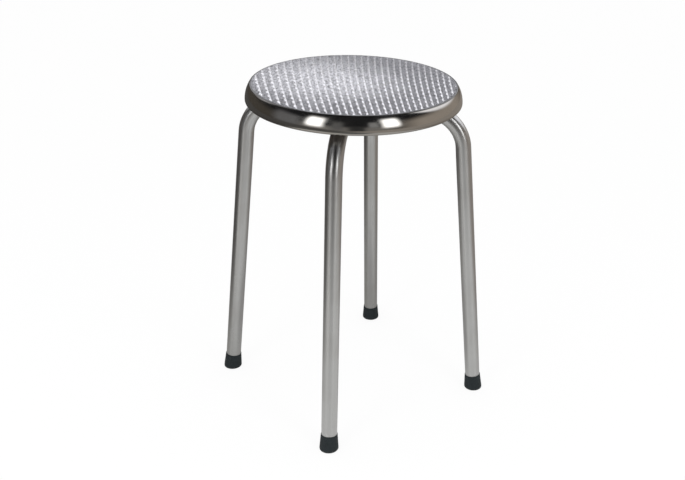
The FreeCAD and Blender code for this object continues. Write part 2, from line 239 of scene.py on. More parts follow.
def make_hairline_group():
    """Fine lines that run along Z of the given place, as a height and as a change of shine."""
    tree, given, result = new_group(
        "hairlines",
        {"Place": (VECTOR, None), "Density": (FLOAT, 2600.0), "Length": (FLOAT, 40.0)},
        {"Height": FLOAT, "Shine": FLOAT},
    )
    split = add(tree, "ShaderNodeSeparateXYZ", inputs={0: given["Place"]})
    along = maths(tree, "MULTIPLY", split.outputs["Z"], given["Length"])
    across = maths(tree, "MULTIPLY", split.outputs["X"], given["Density"])
    around = maths(tree, "MULTIPLY", split.outputs["Y"], given["Density"])
    place = add(tree, "ShaderNodeCombineXYZ", inputs={0: across, 1: around, 2: along}).outputs[0]
    fine = noise(tree, place, 1.0, 2.0, 0.6)
    broad = noise(tree, place, 0.16, 2.0, 0.5)
    height = maths(tree, "ADD", fine, maths(tree, "MULTIPLY", broad, 1.2))
    tree.links.new(height, result.inputs["Height"])
    tree.links.new(maths(tree, "MULTIPLY", fine, broad), result.inputs["Shine"])
    return tree


def make_smudge_group():
    """Soft clouds of handling marks and small dust specks."""
    tree, given, result = new_group(
        "smudges",
        {"Place": (VECTOR, None), "Scale": (FLOAT, 18.0)},
        {"Clouds": FLOAT, "Specks": FLOAT},
    )
    cloud = noise(tree, given["Place"], given["Scale"], 4.0, 0.55)
    tree.links.new(ramp(tree, cloud, 0.38, 0.7), result.inputs["Clouds"])
    speck = noise(tree, given["Place"], maths(tree, "MULTIPLY", given["Scale"], 45.0), 1.0, 0.5)
    tree.links.new(ramp(tree, speck, 0.68, 0.78), result.inputs["Specks"])
    return tree


def make_edge_group():
    """Where an edge stands out and gets rubbed. It follows the mesh's own vertices, so it stays
    near the edge only where the faces beside it are small."""
    tree, given, result = new_group(
        "rubbed edges",
        {"Low": (FLOAT, 0.52), "High": (FLOAT, 0.6)},
        {"Rubbed": FLOAT},
    )
    shape = add(tree, "ShaderNodeNewGeometry").outputs["Pointiness"]
    tree.links.new(ramp(tree, shape, given["Low"], given["High"]), result.inputs["Rubbed"])
    return tree


hairlines = make_hairline_group()
smudges = make_smudge_group()
rubbed_edges = make_edge_group()


def new_material(name, metallic=0.0, **constants):
    """A material with one Principled shader, whose fixed values are set on its own sockets."""
    material = bpy.data.materials.new(name)
    material.use_nodes = True
    tree = material.node_tree
    tree.nodes.clear()
    shader = add(tree, "ShaderNodeBsdfPrincipled")
    shader.inputs["Metallic"].default_value = metallic
    for label, value in constants.items():
        shader.inputs[label.replace("_", " ")].default_value = value
    output = add(tree, "ShaderNodeOutputMaterial")
    tree.links.new(shader.outputs[0], output.inputs["Surface"])
    return material, tree, shader


def wire(tree, shader, colour, roughness, height, distance):
    """Feed the shader's colour, roughness and a bump of the given depth in metres."""
    tree.links.new(colour, shader.inputs["Base Color"])
    tree.links.new(roughness, shader.inputs["Roughness"])
    inputs = {"Height": height, "Distance": distance, "Strength": 1.0}
    tree.links.new(add(tree, "ShaderNodeBump", inputs=inputs).outputs[0], shader.inputs["Normal"])


def object_place(tree):
    return add(tree, "ShaderNodeTexCoord").outputs["Object"]


def round_place(tree, place):
    """The place without its height, its radius and height, and a place that turns slowly round
    Z, so that hairlines circle the stool's axis."""
    split = add(tree, "ShaderNodeSeparateXYZ", inputs={0: place})
    level = {0: split.outputs["X"], 1: split.outputs["Y"]}
    flat = add(tree, "ShaderNodeCombineXYZ", inputs=level).outputs[0]
    radius = vector_maths(tree, "LENGTH", flat)
    side = add(tree, "ShaderNodeSeparateXYZ", inputs={0: vector_maths(tree, "NORMALIZE", flat)})
    turned = add(
        tree, "ShaderNodeCombineXYZ",
        inputs={0: radius, 1: split.outputs["Z"], 2: maths(tree, "MULTIPLY", side.outputs["X"], 0.15)},
    ).outputs[0]
    return flat, radius, split.outputs["Z"], turned


def make_seat_steel():
    """Stainless sheet: satin on the embossed field and polished on the rim."""
    material, tree, shader = new_material("seat_stainless", metallic=1.0)
    place = object_place(tree)
    flat, radius, height, turned = round_place(tree, place)
    rim = ramp(tree, radius, (FIELD_RADIUS + 0.6) * MM, (FIELD_RADIUS + 1.2) * MM)
    lines = use_group(tree, hairlines, Place=turned, Density=2200.0, Length=26.0)
    marks = use_group(tree, smudges, Place=place, Scale=16.0)
    grain = noise(tree, place, 1500.0, 2.0, 0.6)
    worm = maths(tree, "ABSOLUTE", maths(tree, "SUBTRACT", noise(tree, place, 260.0, 1.0, 0.5), 0.5))
    fine = ramp(tree, worm, 0.015, 0.07)

    # Painted sheen: the field's colour is lighter in a broad patch near the middle of the seat.
    from_sheen_middle = vector_maths(tree, "LENGTH", vector_maths(tree, "SUBTRACT", flat, SHEEN_MIDDLE))
    uneven = maths(tree, "ADD", from_sheen_middle, maths(tree, "MULTIPLY", marks["Clouds"], 0.02))
    painted_sheen = ramp(tree, uneven, 0.15, 0.03)
    high = ramp(tree, height, (SEAT_TOP - 0.42) * MM, (SEAT_TOP - 0.1) * MM)
    # Painted shade: the fine grooves of the field are coloured near black.
    pit_shade_colour = blend_colour(tree, painted_sheen, (0.045, 0.045, 0.05, 1), (0.14, 0.14, 0.15, 1))
    flat_colour = blend_colour(tree, painted_sheen, (0.30, 0.30, 0.32, 1), (0.80, 0.80, 0.83, 1))
    low_colour = blend_colour(tree, fine, pit_shade_colour, flat_colour)
    # Painted highlight and painted shade: the crests are near white toward the front and darker toward
    # the back.
    backward = add(tree, "ShaderNodeSeparateXYZ", inputs={0: flat}).outputs["Y"]
    crest_back_shade = ramp(tree, backward, -0.01, 0.12)
    crest_light_colour = blend_colour(tree, crest_back_shade, (0.97, 0.97, 0.99, 1), (0.46, 0.46, 0.475, 1))
    field_colour = blend_colour(tree, high, low_colour, crest_light_colour)
    rim_colour = blend_colour(tree, marks["Clouds"], (0.64, 0.62, 0.59, 1), (0.57, 0.55, 0.52, 1))
    # Painted shade: the rim's colour darkens down the rolled lip.
    lip_shade = ramp(tree, height, *(value * MM for value in LIP_SHADE_HEIGHTS))
    rim_colour = blend_colour(tree, lip_shade, rim_colour, (0.38, 0.36, 0.33, 1))
    colour = blend_colour(tree, rim, field_colour, rim_colour)
    # A painted band stands in for the dark reflection that runs along the shoulder.
    crease_in = ramp(tree, radius, *(value * MM for value in CREASE_INNER))
    crease_out = ramp(tree, radius, *(value * MM for value in CREASE_OUTER))
    crease = maths(tree, "MULTIPLY", maths(tree, "MULTIPLY", crease_in, crease_out), 0.85)
    colour = blend_colour(tree, crease, colour, (0.045, 0.045, 0.045, 1))

    field_rough = ramp(tree, high, 0.0, 1.0, 0.3, 0.12)
    field_rough = maths(tree, "ADD", field_rough, maths(tree, "MULTIPLY", grain, 0.1))
    rim_rough = maths(tree, "ADD", 0.06, maths(tree, "MULTIPLY", lines["Shine"], 0.16))
    rim_rough = maths(tree, "ADD", rim_rough, maths(tree, "MULTIPLY", marks["Clouds"], 0.05))
    roughness = blend_value(tree, rim, field_rough, rim_rough)

    worms, grains = maths(tree, "MULTIPLY", fine, 0.7), maths(tree, "MULTIPLY", grain, 0.3)
    field_height = maths(tree, "ADD", worms, grains)
    rim_height = maths(tree, "MULTIPLY", lines["Height"], 0.025)
    surface = blend_value(tree, rim, field_height, rim_height)
    wire(tree, shader, colour, roughness, surface, distance=0.0002)
    return material


def make_tube_steel():
    """Drawn stainless tube: hairlines along the tube and soft handling marks."""
    material, tree, shader = new_material("tube_stainless", metallic=1.0, Anisotropic=0.6)
    straight = add(tree, "ShaderNodeAttribute", attribute_name="straight_place").outputs["Vector"]
    place = object_place(tree)
    lines = use_group(tree, hairlines, Place=straight, Density=1500.0, Length=9.0)
    marks = use_group(tree, smudges, Place=place, Scale=22.0)
    base = blend_colour(tree, lines["Shine"], (0.60, 0.60, 0.595, 1), (0.72, 0.72, 0.715, 1))
    handled = maths(tree, "MULTIPLY", marks["Clouds"], 0.25)
    colour = blend_colour(tree, handled, base, (0.50, 0.49, 0.47, 1))
    roughness = maths(tree, "ADD", 0.25, maths(tree, "MULTIPLY", lines["Shine"], 0.14))
    roughness = maths(tree, "ADD", roughness, maths(tree, "MULTIPLY", marks["Clouds"], 0.05))
    wire(tree, shader, colour, roughness, lines["Height"], distance=0.000008)
    along = add(tree, "ShaderNodeAttribute", attribute_name="along_tube").outputs["Vector"]
    tree.links.new(along, shader.inputs["Tangent"])
    return material


def make_foot_rubber():
    """Moulded rubber: dark, with a fine pebble and a little dust low down."""
    material, tree, shader = new_material("foot_rubber_black", Specular_IOR_Level=0.3)
    place = object_place(tree)
    height = add(tree, "ShaderNodeSeparateXYZ", inputs={0: place}).outputs["Z"]
    pebble = noise(tree, place, 1400.0, 3.0, 0.6)
    patch = noise(tree, place, 120.0, 3.0, 0.5)
    marks = use_group(tree, smudges, Place=place, Scale=60.0)
    edges = use_group(tree, rubbed_edges, Low=0.53, High=0.64)
    base = blend_colour(tree, patch, (0.008, 0.012, 0.0135, 1), (0.017, 0.023, 0.026, 1))
    low = ramp(tree, height, 0.0035, 0.0)
    dust = maths(tree, "ADD", low, maths(tree, "MULTIPLY", marks["Specks"], 0.4))
    dust = maths(tree, "MULTIPLY", dust, 0.3)
    colour = blend_colour(tree, dust, base, (0.16, 0.15, 0.14, 1))
    rubbed = maths(tree, "MULTIPLY", edges["Rubbed"], 0.35)
    colour = blend_colour(tree, rubbed, colour, (0.09, 0.1, 0.105, 1))
    roughness = maths(tree, "ADD", 0.5, maths(tree, "MULTIPLY", patch, 0.25))
    wire(tree, shader, colour, roughness, pebble, distance=0.00006)
    return material


def make_plug_plastic():
    """Black moulded plastic with faint flow marks."""
    material, tree, shader = new_material("plug_black_plastic")
    place = object_place(tree)
    flow = noise(tree, place, 160.0, 3.0, 0.5)
    grain = noise(tree, place, 1800.0, 2.0, 0.5)
    edges = use_group(tree, rubbed_edges, Low=0.52, High=0.6)
    base = blend_colour(tree, flow, (0.012, 0.012, 0.013, 1), (0.026, 0.026, 0.028, 1))
    rubbed = maths(tree, "MULTIPLY", edges["Rubbed"], 0.4)
    colour = blend_colour(tree, rubbed, base, (0.08, 0.08, 0.08, 1))
    roughness = maths(tree, "ADD", 0.34, maths(tree, "MULTIPLY", flow, 0.22))
    wire(tree, shader, colour, roughness, grain, distance=0.00003)
    return material


def make_plywood():
    """Plywood: long grain on the faces and thin layers of turned grain on the edge."""
    material, tree, shader = new_material("plywood_board")
    place = object_place(tree)
    _, radius, height, turned = round_place(tree, place)
    grain_run = {"Vector": place, "Scale": (4.0, 55.0, 4.0), "Rotation": (0, 0, 0.35)}
    face_place = add(tree, "ShaderNodeMapping", inputs=grain_run).outputs[0]
    warp = maths(tree, "MULTIPLY", noise(tree, place, 7.0, 2.0, 0.5), 3.5)
    sideways = add(tree, "ShaderNodeCombineXYZ", inputs={1: warp}).outputs[0]
    moved = vector_maths(tree, "ADD", face_place, sideways)
    figure = noise(tree, moved, 1.1, 4.0, 0.55)
    pores = noise(tree, vector_maths(tree, "MULTIPLY", moved, (6.0, 22.0, 6.0)), 1.0, 2.0, 0.7)
    banded = ramp(tree, figure, 0.3, 0.7)
    face = blend_colour(tree, banded, (0.030, 0.019, 0.012, 1), (0.058, 0.037, 0.023, 1))
    pored = maths(tree, "MULTIPLY", ramp(tree, pores, 0.56, 0.72), 0.5)
    face = blend_colour(tree, pored, face, (0.014, 0.009, 0.006, 1))
    layer = maths(tree, "SINE", maths(tree, "MULTIPLY", height, 2 * math.pi / (PLY_PAIR * MM)))
    layered = ramp(tree, layer, -0.25, 0.25)
    edge = blend_colour(tree, layered, (0.040, 0.026, 0.016, 1), (0.085, 0.056, 0.034, 1))
    fibre_place = vector_maths(tree, "MULTIPLY", turned, (900.0, 2200.0, 120.0))
    fibre = noise(tree, fibre_place, 1.0, 2.0, 0.6)
    edge = blend_colour(tree, maths(tree, "MULTIPLY", fibre, 0.35), edge, (0.02, 0.013, 0.008, 1))
    side = ramp(tree, radius, *(value * MM for value in BOARD_EDGE))
    colour = blend_colour(tree, side, face, edge)
    roughness = maths(tree, "ADD", 0.58, maths(tree, "MULTIPLY", pores, 0.25))
    deep, broad = maths(tree, "MULTIPLY", pores, 0.7), maths(tree, "MULTIPLY", figure, 0.3)
    relief = maths(tree, "ADD", deep, broad)
    wire(tree, shader, colour, roughness, relief, distance=0.00012)
    return material


def make_plate_paint():
    """Steel plate under a thin coat of black paint with dusty specks."""
    material, tree, shader = new_material("plate_black_paint")
    place = object_place(tree)
    peel = noise(tree, place, 520.0, 2.0, 0.5)
    patch = noise(tree, place, 30.0, 4.0, 0.6)
    marks = use_group(tree, smudges, Place=place, Scale=26.0)
    base = blend_colour(tree, patch, (0.010, 0.010, 0.011, 1), (0.022, 0.022, 0.024, 1))
    dusty = maths(tree, "MULTIPLY", marks["Specks"], 0.35)
    colour = blend_colour(tree, dusty, base, (0.12, 0.11, 0.10, 1))
    roughness = maths(tree, "ADD", 0.34, maths(tree, "MULTIPLY", patch, 0.25))
    wire(tree, shader, colour, roughness, peel, distance=0.00006)
    return material


def make_fastener_steel():
    """Bright zinc on screws and washers, duller in the recesses."""
    material, tree, shader = new_material("fastener_zinc", metallic=1.0)
    place = object_place(tree)
    patch = noise(tree, place, 260.0, 3.0, 0.5)
    grain = noise(tree, place, 2200.0, 2.0, 0.5)
    edges = use_group(tree, rubbed_edges, Low=0.5, High=0.6)
    base = blend_colour(tree, patch, (0.50, 0.49, 0.45, 1), (0.62, 0.62, 0.60, 1))
    colour = blend_colour(tree, edges["Rubbed"], base, (0.75, 0.75, 0.73, 1))
    roughness = maths(tree, "ADD", 0.22, maths(tree, "MULTIPLY", patch, 0.2))
    wire(tree, shader, colour, roughness, grain, distance=0.00002)
    return material


def make_weld_steel():
    """Weld beads: grey steel with straw and blue heat colours."""
    material, tree, shader = new_material("weld_bead_steel", metallic=1.0)
    place = object_place(tree)
    heat = noise(tree, place, 190.0, 2.0, 0.5)
    scale = noise(tree, place, 900.0, 3.0, 0.6)
    straw, blue = ramp(tree, heat, 0.35, 0.5), ramp(tree, heat, 0.56, 0.68)
    colour = blend_colour(tree, straw, (0.40, 0.39, 0.37, 1), (0.42, 0.31, 0.17, 1))
    colour = blend_colour(tree, blue, colour, (0.16, 0.19, 0.30, 1))
    roughness = maths(tree, "ADD", 0.28, maths(tree, "MULTIPLY", scale, 0.3))
    wire(tree, shader, colour, roughness, scale, distance=0.00008)
    return material


# ---- mesh tools ----


def finish_piece(name, mesh_data, material, replaces=(), sharp=None):
    """Turn millimetres into metres and put the piece on the stool."""
    bmesh.ops.scale(mesh_data, vec=(MM, MM, MM), verts=mesh_data.verts)
    mesh = bpy.data.meshes.new(name)
    mesh_data.to_mesh(mesh)
    mesh_data.free()
    mesh.polygons.foreach_set("use_smooth", [True] * len(mesh.polygons))
    if sharp is not None:
        mesh.set_sharp_from_angle(angle=math.radians(sharp))
    mesh.materials.append(material)
    piece = bpy.data.objects.new(name, mesh)
    bpy.context.collection.objects.link(piece)
    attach(piece, "root")
    if replaces:
        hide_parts(*replaces)
    return piece


def arc_points(centre, radius, start, end, steps):
    """Points of an arc as (radius, height), from the start angle to the end angle."""
    found = []
    for step in range(steps + 1):
        angle = math.radians(start + (end - start) * step / steps)
        across, up = radius * math.cos(angle), radius * math.sin(angle)
        found.append((centre[0] + across, centre[1] + up))
    return found


def chain(mesh, points):
    """Joined vertices in the XZ plane, as verts and edges for a spin."""
    verts = [mesh.verts.new((x, 0.0, z)) for x, z in points]
    edges = [mesh.edges.new(pair) for pair in zip(verts, verts[1:])]
    return verts + edges


def spin_round(mesh, points, steps):
    """A full turn of a section about the Z axis."""
    bmesh.ops.spin(
        mesh, geom=chain(mesh, points), cent=(0, 0, 0), axis=(0, 0, 1), dvec=(0, 0, 0),
        angle=2 * math.pi, steps=steps, use_merge=True, use_normal_flip=False, use_duplicate=False,
    )


def close_up(mesh):
    """Join doubled vertices and turn all faces outward."""
    bmesh.ops.remove_doubles(mesh, verts=mesh.verts, dist=0.0005)
    bmesh.ops.recalc_face_normals(mesh, faces=mesh.faces)


def smooth_step(value, low, high):
    share = min(max((value - low) / (high - low), 0.0), 1.0)
    return share * share * (3 - 2 * share)


# ---- seat ----


def raised(distance, crest, foot):
    """A rounded ridge: 1 on its crest and 0 beyond its foot."""
    return 1 - smooth_step(abs(distance), crest, foot)


def lattice_height(row, offset, along):
    """How far the embossing lies below the seat's top at a place in a row."""
    turn = 2 * math.pi / WEAVE_LENGTH
    knot = 0.5 + 0.5 * math.cos(along * turn + (math.pi if row % 2 else 0.0))
    crest = RIDGE_CREST[0] + (RIDGE_CREST[1] - RIDGE_CREST[0]) * knot
    grain = 0.5 - 0.5 * math.cos((along + GRAIN_LEAN * offset) * turn * GRAINS_PER_WEAVE)
    ridge = raised(offset, crest, crest + RIDGE_FLANK)
    ridge = ridge * (1 - GRAIN_SHARE * grain) * (0.8 + 0.2 * knot)
    gap = ROW_PITCH / 2 - abs(offset)
    stud = raised(gap, 0.2, STUD_FOOT) * (0.5 - 0.5 * math.cos(along * turn * GRAINS_PER_WEAVE))
    return RIDGE_HEIGHT * (ridge - 1) + STUD_HEIGHT * stud


def weave(row, along):
    """How far a ridge stands to one side. Neighbours go opposite ways and so make the lattice."""
    turn = (along / WEAVE_LENGTH) % 1.0
    side = 4 * abs(turn - 0.5) - 1
    return WEAVE_SIDE * side * (1 if row % 2 else -1)


def row_number(x, y):
    a, b, c, d, e = ROW_MAP
    return a * x + b * y + c * x * x / 2 + d * x * y + e * y * y / 2


def row_place(turn, count, along):
    """The place on a row, found by stepping sideways until its row number is right."""
    side = turn @ Vector((1, 0, 0))
    place = turn @ Vector((count * ROW_PITCH, along, 0))
    for _ in range(5):
        x, y = place.x / 100, place.y / 100
        rate = row_number(x + side.x * 0.01, y + side.y * 0.01) - row_number(x, y)
        place -= side * (row_number(x, y) - count) / rate
    return place


def make_field():
    """The embossed sheet, cut to a circle. Its ridges sink to the low level at the border."""
    mesh = bmesh.new()
    per_row = len(ROW_LINES)
    columns = (2 * ROWS_EACH_WAY + 1) * per_row
    step = WEAVE_LENGTH / LINES_PER_WEAVE
    lines = 2 * math.ceil((FIELD_RADIUS + 3) / step)
    bmesh.ops.create_grid(mesh, x_segments=columns, y_segments=lines, size=1.0)
    turn = Matrix.Rotation(math.radians(ROW_ANGLE), 4, "Z")
    outside = []
    for vert in mesh.verts:
        column = round((vert.co.x + 1) / 2 * columns)
        along = round(vert.co.y / 2 * lines) * step
        row = column // per_row - ROWS_EACH_WAY
        offset = ROW_LINES[column % per_row]
        near = 1 - abs(offset) / (ROW_PITCH / 2)
        count = row + (offset + weave(row, along) * near) / ROW_PITCH
        place = row_place(turn, count + ROW_START, along)
        reach = place.length
        depth = lattice_height(row, offset, along)
        sink = smooth_step(reach, FIELD_RADIUS - FIELD_FADE, FIELD_RADIUS - 0.45)
        depth += (-RIDGE_HEIGHT - depth) * sink
        vert.co = (place.x, place.y, SEAT_TOP + depth)
        if reach > FIELD_RADIUS + 1.6:
            outside.append(vert)
    bmesh.ops.delete(mesh, geom=outside, context="VERTS")
    trim_round(mesh)
    return mesh


def trim_round(mesh):
    """Cut the sheet's border to a fine polygon round the field."""
    inner = FIELD_RADIUS - 3
    near = [face for face in mesh.faces if face.calc_center_median().xy.length > inner]
    part = list({item for face in near for item in (*face.verts, *face.edges)}) + near
    for side in range(BORDER_SIDES):
        angle = 2 * math.pi * side / BORDER_SIDES
        out = Vector((math.cos(angle), math.sin(angle), 0))
        cut = bmesh.ops.bisect_plane(
            mesh, geom=part, dist=0.00001, plane_co=out * FIELD_RADIUS, plane_no=out,
            clear_outer=True, clear_inner=False,
        )
        part = [item for item in cut["geom"] if item.is_valid]


def pan_section():
    """The pan's wall from the seat's border over the rim and the rolled edge and back inside."""
    outside = [(TOP_RADIUS - 0.3, SEAT_TOP - RIDGE_HEIGHT)]
    outside += arc_points(SHOULDER_CENTRE, SHOULDER_RADIUS, 90, RIM_ANGLE, 9)
    outside += arc_points(RIM_CENTRE, RIM_RADIUS, RIM_ANGLE, 0, 18)[1:]
    outside += arc_points(ROLL_CENTRE, ROLL_RADIUS, 0, -180, 18)[1:]
    inside = arc_points(ROLL_CENTRE, ROLL_RADIUS - SHEET, -180, 0, 12)
    inside += arc_points(RIM_CENTRE, RIM_RADIUS - SHEET, 0, RIM_ANGLE, 10)[1:]
    inside += arc_points(SHOULDER_CENTRE, SHOULDER_RADIUS - SHEET, RIM_ANGLE, 90, 4)[1:]
    inside += [(radius, SEAT_TOP - SHEET) for radius in (120.0, 60.0, 0.0)]
    return outside + inside


def add_mesh(mesh, other):
    """Move another shape into this one."""
    carrier = bpy.data.meshes.new("carrier")
    other.to_mesh(carrier)
    other.free()
    mesh.from_mesh(carrier)
    bpy.data.meshes.remove(carrier)


def border_edges(mesh):
    return [edge for edge in mesh.edges if edge.is_boundary]


def make_seat(material):
    """One sheet: the embossed field joined to the rim and to the plain underside."""
    wall = bmesh.new()
    spin_round(wall, pan_section(), ROUND_STEPS)
    bmesh.ops.remove_doubles(wall, verts=wall.verts, dist=0.002)
    field = make_field()
    add_mesh(field, wall)
    bmesh.ops.bridge_loops(field, edges=border_edges(field))
    bmesh.ops.recalc_face_normals(field, faces=field.faces)
    return finish_piece("seat_sheet", field, material, ("seat_pan",), sharp=60)


# ---- legs ----


def leg_path():
    """The places where the tube's straight run, bend and shank meet."""
    slope = math.radians(SPLAY)
    corner = FOOT_RING - RUN_HEIGHT * math.tan(slope)
    run_end = corner - BEND_RADIUS * math.tan(math.radians(90 - SPLAY) / 2)
    end = Vector((FOOT_RING - TUBE_LIFT * math.sin(slope), 0, TUBE_LIFT * math.cos(slope)))
    bend_height = RUN_HEIGHT - BEND_RADIUS
    shank_start = Vector((
        run_end + BEND_RADIUS * math.cos(slope), 0, bend_height + BEND_RADIUS * math.sin(slope),
    ))
    return run_end, shank_start, end


def tube_wall(mesh, radius):
    """One wall of a leg's tube. Returns its two end loops of edges."""
    run_end, shank_start, end = leg_path()
    upright = Matrix.Rotation(math.radians(90), 4, "Y")
    upright = Matrix.Translation((RUN_START, 0, RUN_HEIGHT)) @ upright
    made = bmesh.ops.create_circle(
        mesh, cap_ends=False, radius=radius, segments=TUBE_STEPS, matrix=upright,
    )
    first = list({edge for vert in made["verts"] for edge in vert.link_edges})
    loop = first
    for _ in range(RUN_STEPS):
        loop = stretch(mesh, loop, ((run_end - RUN_START) / RUN_STEPS, 0, 0))
    turned = bmesh.ops.spin(
        mesh, geom=loop + list({vert for edge in loop for vert in edge.verts}),
        cent=(run_end, 0, RUN_HEIGHT - BEND_RADIUS), axis=(0, 1, 0), dvec=(0, 0, 0),
        angle=math.radians(90 - SPLAY), steps=BEND_STEPS,
        use_merge=False, use_normal_flip=False, use_duplicate=False,
    )
    loop = [item for item in turned["geom_last"] if isinstance(item, bmesh.types.BMEdge)]
    for _ in range(SHANK_STEPS):
        loop = stretch(mesh, loop, (end - shank_start) / SHANK_STEPS)
    return first, loop


def stretch(mesh, loop, step):
    """Extrude a loop of edges by a step and return the new loop."""
    made = bmesh.ops.extrude_edge_only(mesh, edges=loop)["geom"]
    verts = [item for item in made if isinstance(item, bmesh.types.BMVert)]
    bmesh.ops.translate(mesh, verts=verts, vec=step)
    return [item for item in made if isinstance(item, bmesh.types.BMEdge)
            and all(vert in set(verts) for vert in item.verts)]


def straighten(place):
    """The place a point of the tube had before it was bent, with Z along the tube."""
    run_end, shank_start, end = leg_path()
    x, y, z = place
    centre = Vector((run_end, 0, RUN_HEIGHT - BEND_RADIUS))
    arm = Vector((x - centre.x, 0, z - centre.z))
    angle = math.atan2(arm.x, arm.z)
    sweep = math.radians(90 - SPLAY)
    if x <= run_end + 0.001 and z > centre.z:
        return Vector((z - RUN_HEIGHT, y, x - RUN_START))
    if 0 <= angle <= sweep + 0.0001 and z > centre.z - 1:
        return Vector((arm.length - BEND_RADIUS, y, run_end - RUN_START + BEND_RADIUS * angle))
    down = (end - shank_start).normalized()
    out = Vector((down.z, 0, -down.x)) * -1
    gone = Vector(place) - shank_start
    return Vector((gone.dot(out), y, run_end - RUN_START + BEND_RADIUS * sweep + gone.dot(down)))


def tube_direction(place):
    """Which way the tube runs at a point of it."""
    run_end = leg_path()[0]
    sweep = math.radians(90 - SPLAY)
    arm = Vector((place[0] - run_end, 0, place[2] - RUN_HEIGHT + BEND_RADIUS))
    angle = min(max(math.atan2(arm.x, arm.z), 0.0), sweep) if place[0] > run_end else 0.0
    if place[2] < RUN_HEIGHT - BEND_RADIUS:
        angle = sweep
    return Vector((math.cos(angle), 0, -math.sin(angle)))


def bend_marks(mesh):
    """The slight flattening and ripple that a bending former leaves inside the bend."""
    run_end = leg_path()[0]
    sweep = BEND_RADIUS * math.radians(90 - SPLAY)
    start = run_end - RUN_START
    for vert in mesh.verts:
        straight = straighten(vert.co)
        share = (straight.z - start) / sweep
        if not -0.1 < share < 1.1:
            continue
        inner = max(-straight.x / TUBE_RADIUS, 0.0) ** 3
        ease = smooth_step(share, -0.1, 0.15) * (1 - smooth_step(share, 0.85, 1.1))
        ripple = 0.5 + 0.5 * math.cos(2 * math.pi * share * BEND_RIPPLES)
        centre = Vector((run_end, 0, RUN_HEIGHT - BEND_RADIUS))
        away = Vector((vert.co.x - centre.x, 0, vert.co.z - centre.z)).normalized()
        vert.co += away * inner * ease * (0.3 + 0.12 * ripple)


def make_leg(side, angle, material):
    mesh = bmesh.new()
    outer = tube_wall(mesh, TUBE_RADIUS)
    inner = tube_wall(mesh, BORE_RADIUS)
    for first, second in zip(outer, inner):
        bmesh.ops.bridge_loops(mesh, edges=first + second)
    bmesh.ops.recalc_face_normals(mesh, faces=mesh.faces)
    bend_marks(mesh)
    layer = mesh.verts.layers.float_vector.new("straight_place")
    axis = mesh.verts.layers.float_vector.new("along_tube")
    turn = Matrix.Rotation(math.radians(angle), 3, "Z")
    for vert in mesh.verts:
        vert[layer] = straighten(vert.co) * MM
        vert[axis] = turn @ tube_direction(vert.co)
    bmesh.ops.rotate(mesh, verts=mesh.verts, cent=(0, 0, 0), matrix=turn)
    return finish_piece(f"leg_tube_{side}", mesh, material, (f"leg_{side}",), sharp=40)


# ---- feet ----

FOOT_BORE = 11.2
FOOT_LIP = 11.8
FOOT_BASE = 13.4
FOOT_HEIGHT = 24.0
SOLE_THICKNESS = 6.0
SOLE_ROUND = 2.2
SKIRT_START = 3.2
LIP_ROUND = 0.3
MOULD_LINE = 0.14
SOLE_LAND = 1.6
GROOVE_WIDTH = 0.9
GROOVE_DEPTH = 0.9
GROOVE_WALL = 0.15


def foot_section():
    """The rubber foot's wall from its sole up the tapered skirt, over the lip and down inside."""
    skirt = [(0.0, -4.0), (FOOT_BASE, -4.0), (FOOT_BASE, SKIRT_START)]
    for step in range(1, 9):
        share = step / 8
        radius = FOOT_BASE + (FOOT_LIP - FOOT_BASE) * share
        skirt.append((radius, SKIRT_START + (FOOT_HEIGHT - 0.5 - SKIRT_START) * share))
    lip = arc_points((FOOT_BORE + LIP_ROUND, FOOT_HEIGHT - LIP_ROUND), LIP_ROUND, 0, 180, 6)
    bore = [(FOOT_BORE, SOLE_THICKNESS + 0.6), (FOOT_BORE - 0.6, SOLE_THICKNESS)]
    return skirt + lip + bore + [(0.0, SOLE_THICKNESS)]


def make_foot(side, angle, material):
    """A moulded cup that stands along the leg, with a level grooved sole and a mould line."""
    mesh = bmesh.new()
    spin_round(mesh, foot_section(), 72)
    close_up(mesh)
    for vert in mesh.verts:
        on_skirt = 0 < vert.co.z < FOOT_HEIGHT - 1 and vert.co.xy.length > FOOT_BORE + 0.2
        if on_skirt and abs(vert.co.x) < 0.3:
            vert.co.y *= 1 + MOULD_LINE / abs(vert.co.y)
    slope = Matrix.Rotation(math.radians(-SPLAY), 3, "Y")
    bmesh.ops.rotate(mesh, verts=mesh.verts, cent=(0, 0, 0), matrix=slope)
    cut = bmesh.ops.bisect_plane(
        mesh, geom=mesh.verts[:] + mesh.edges[:] + mesh.faces[:], dist=0.00001,
        plane_co=(0, 0, 0), plane_no=(0, 0, -1), clear_outer=True, clear_inner=False,
    )
    rim = [item for item in cut["geom_cut"] if isinstance(item, bmesh.types.BMEdge)]
    sole = bmesh.ops.contextual_create(mesh, geom=rim)["faces"][0]
    bmesh.ops.bevel(
        mesh, geom=list(sole.edges), offset=SOLE_ROUND, segments=6, profile=0.5,
        affect="EDGES", material=-1,
    )
    groove_sole(mesh)
    close_up(mesh)
    bmesh.ops.translate(mesh, verts=mesh.verts, vec=(FOOT_RING, 0, 0))
    turn = Matrix.Rotation(math.radians(angle), 3, "Z")
    bmesh.ops.rotate(mesh, verts=mesh.verts, cent=(0, 0, 0), matrix=turn)
    name = f"rubber_foot_{side}"
    return finish_piece(name, mesh, material, (f"foot_{side}",), sharp=50)


def groove_sole(mesh):
    """Two round grooves pressed into the sole."""
    def lowest_first(face):
        return round(face.calc_center_median().z, 3), -face.calc_area()

    sole = min(mesh.faces, key=lowest_first)
    for width in (SOLE_LAND, GROOVE_WALL, GROOVE_WIDTH, GROOVE_WALL) * 2:
        inset = bmesh.ops.inset_region(
            mesh, faces=[sole], thickness=width, depth=0.0, use_even_offset=True,
        )
        if width == GROOVE_WIDTH:
            verts = {vert for face in inset["faces"] for vert in face.verts}
            bmesh.ops.translate(mesh, verts=list(verts), vec=(0, 0, GROOVE_DEPTH))


# ---- screws and welds ----

